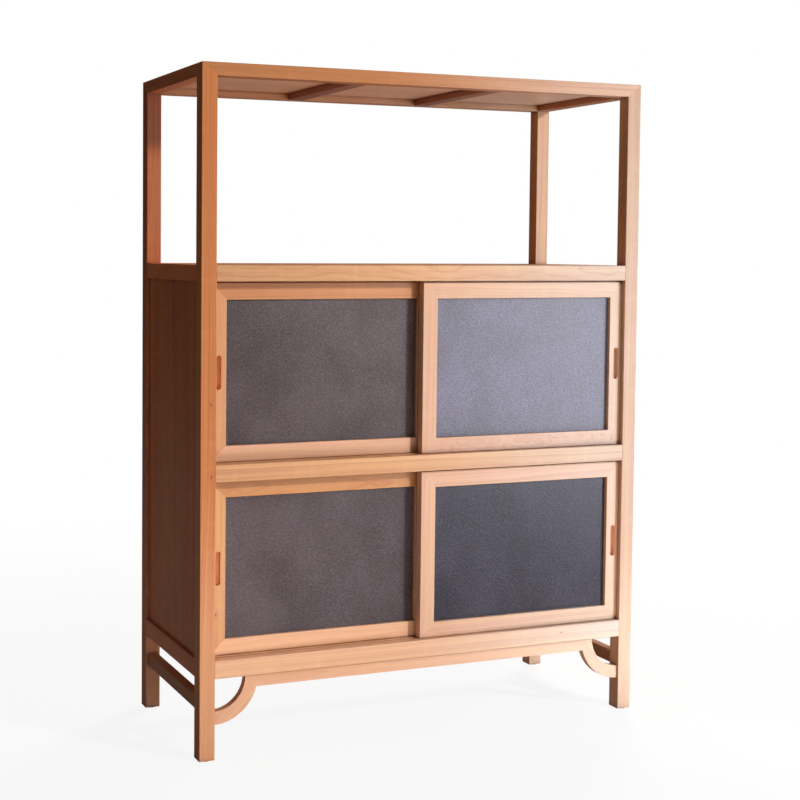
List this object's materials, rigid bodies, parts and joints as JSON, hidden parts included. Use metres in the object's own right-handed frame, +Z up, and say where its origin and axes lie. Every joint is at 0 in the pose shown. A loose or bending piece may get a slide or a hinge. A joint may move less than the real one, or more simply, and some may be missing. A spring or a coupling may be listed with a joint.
{
  "type": "side cabinet",
  "caption": "Upright wooden side cabinet: an open display bay over two levels of sliding glass doors, raised on square legs with curved corner brackets.",
  "frame": {"origin": "On the floor under the middle of the cabinet", "axes": "+X along the front to the right, the doors face -Y, +Z up"},
  "size_m": [1.03, 0.4, 1.4],
  "materials": {
    "frame_cherry": "oiled cherry, fine straight grain, satin",
    "door_cherry": "oiled cherry, paler boards, satin",
    "panel_cherry": "oiled cherry boards, satin",
    "inside_cherry": "unpolished cherry, matt",
    "textured_glass": "fine pebbled glass, slightly grey",
    "felt": "pressed felt"
  },
  "bodies": {
    "cabinet": {"post_front_left": "frame_cherry", "post_front_right": "frame_cherry", "post_rear_left": "frame_cherry", "post_rear_right": "frame_cherry", "top_front_rail": "frame_cherry", "top_back_rail": "frame_cherry", "top_left_rail": "frame_cherry", "top_right_rail": "frame_cherry", "top_panel": "panel_cherry", "top_battens": "inside_cherry", "shelf_front_rail": "frame_cherry", "shelf_back_rail": "frame_cherry", "shelf_left_rail": "frame_cherry", "shelf_right_rail": "frame_cherry", "shelf_panel": "panel_cherry", "shelf_battens": "inside_cherry", "mid_front_rail": "frame_cherry", "mid_back_rail": "frame_cherry", "inner_shelf": "inside_cherry", "inner_shelf_cleats": "inside_cherry", "bottom_front_rail": "frame_cherry", "bottom_back_rail": "frame_cherry", "bottom_left_rail": "frame_cherry", "bottom_right_rail": "frame_cherry", "bottom_panel": "panel_cherry", "side_panel_left": "panel_cherry", "side_panel_right": "panel_cherry", "back_panel_upper": "inside_cherry", "back_panel_lower": "inside_cherry", "door_jambs": "inside_cherry", "front_apron": "frame_cherry", "bracket_left": "frame_cherry", "bracket_right": "frame_cherry", "side_stretchers": "frame_cherry", "foot_pads": "felt"},
    "door_upper_left": {"upper_left_outer_stile": "door_cherry", "upper_left_inner_stile": "door_cherry", "upper_left_top_rail": "door_cherry", "upper_left_bottom_rail": "door_cherry", "upper_left_glass": "textured_glass", "upper_left_beads": "inside_cherry"},
    "door_upper_right": {"upper_right_outer_stile": "door_cherry", "upper_right_inner_stile": "door_cherry", "upper_right_top_rail": "door_cherry", "upper_right_bottom_rail": "door_cherry", "upper_right_glass": "textured_glass", "upper_right_beads": "inside_cherry"},
    "door_lower_left": {"lower_left_outer_stile": "door_cherry", "lower_left_inner_stile": "door_cherry", "lower_left_top_rail": "door_cherry", "lower_left_bottom_rail": "door_cherry", "lower_left_glass": "textured_glass", "lower_left_beads": "inside_cherry"},
    "door_lower_right": {"lower_right_outer_stile": "door_cherry", "lower_right_inner_stile": "door_cherry", "lower_right_top_rail": "door_cherry", "lower_right_bottom_rail": "door_cherry", "lower_right_glass": "textured_glass", "lower_right_beads": "inside_cherry"}
  },
  "joints": [
    {"name": "slide_upper_left", "type": "slide", "parent": "cabinet", "child": "door_upper_left", "axis": [1, 0, 0], "range_m": [0, 0.4625]},
    {"name": "slide_upper_right", "type": "slide", "parent": "cabinet", "child": "door_upper_right", "axis": [-1, 0, 0], "range_m": [0, 0.4675]},
    {"name": "slide_lower_left", "type": "slide", "parent": "cabinet", "child": "door_lower_left", "axis": [1, 0, 0], "range_m": [0, 0.4625]},
    {"name": "slide_lower_right", "type": "slide", "parent": "cabinet", "child": "door_lower_right", "axis": [-1, 0, 0], "range_m": [0, 0.4675]}
  ]
}
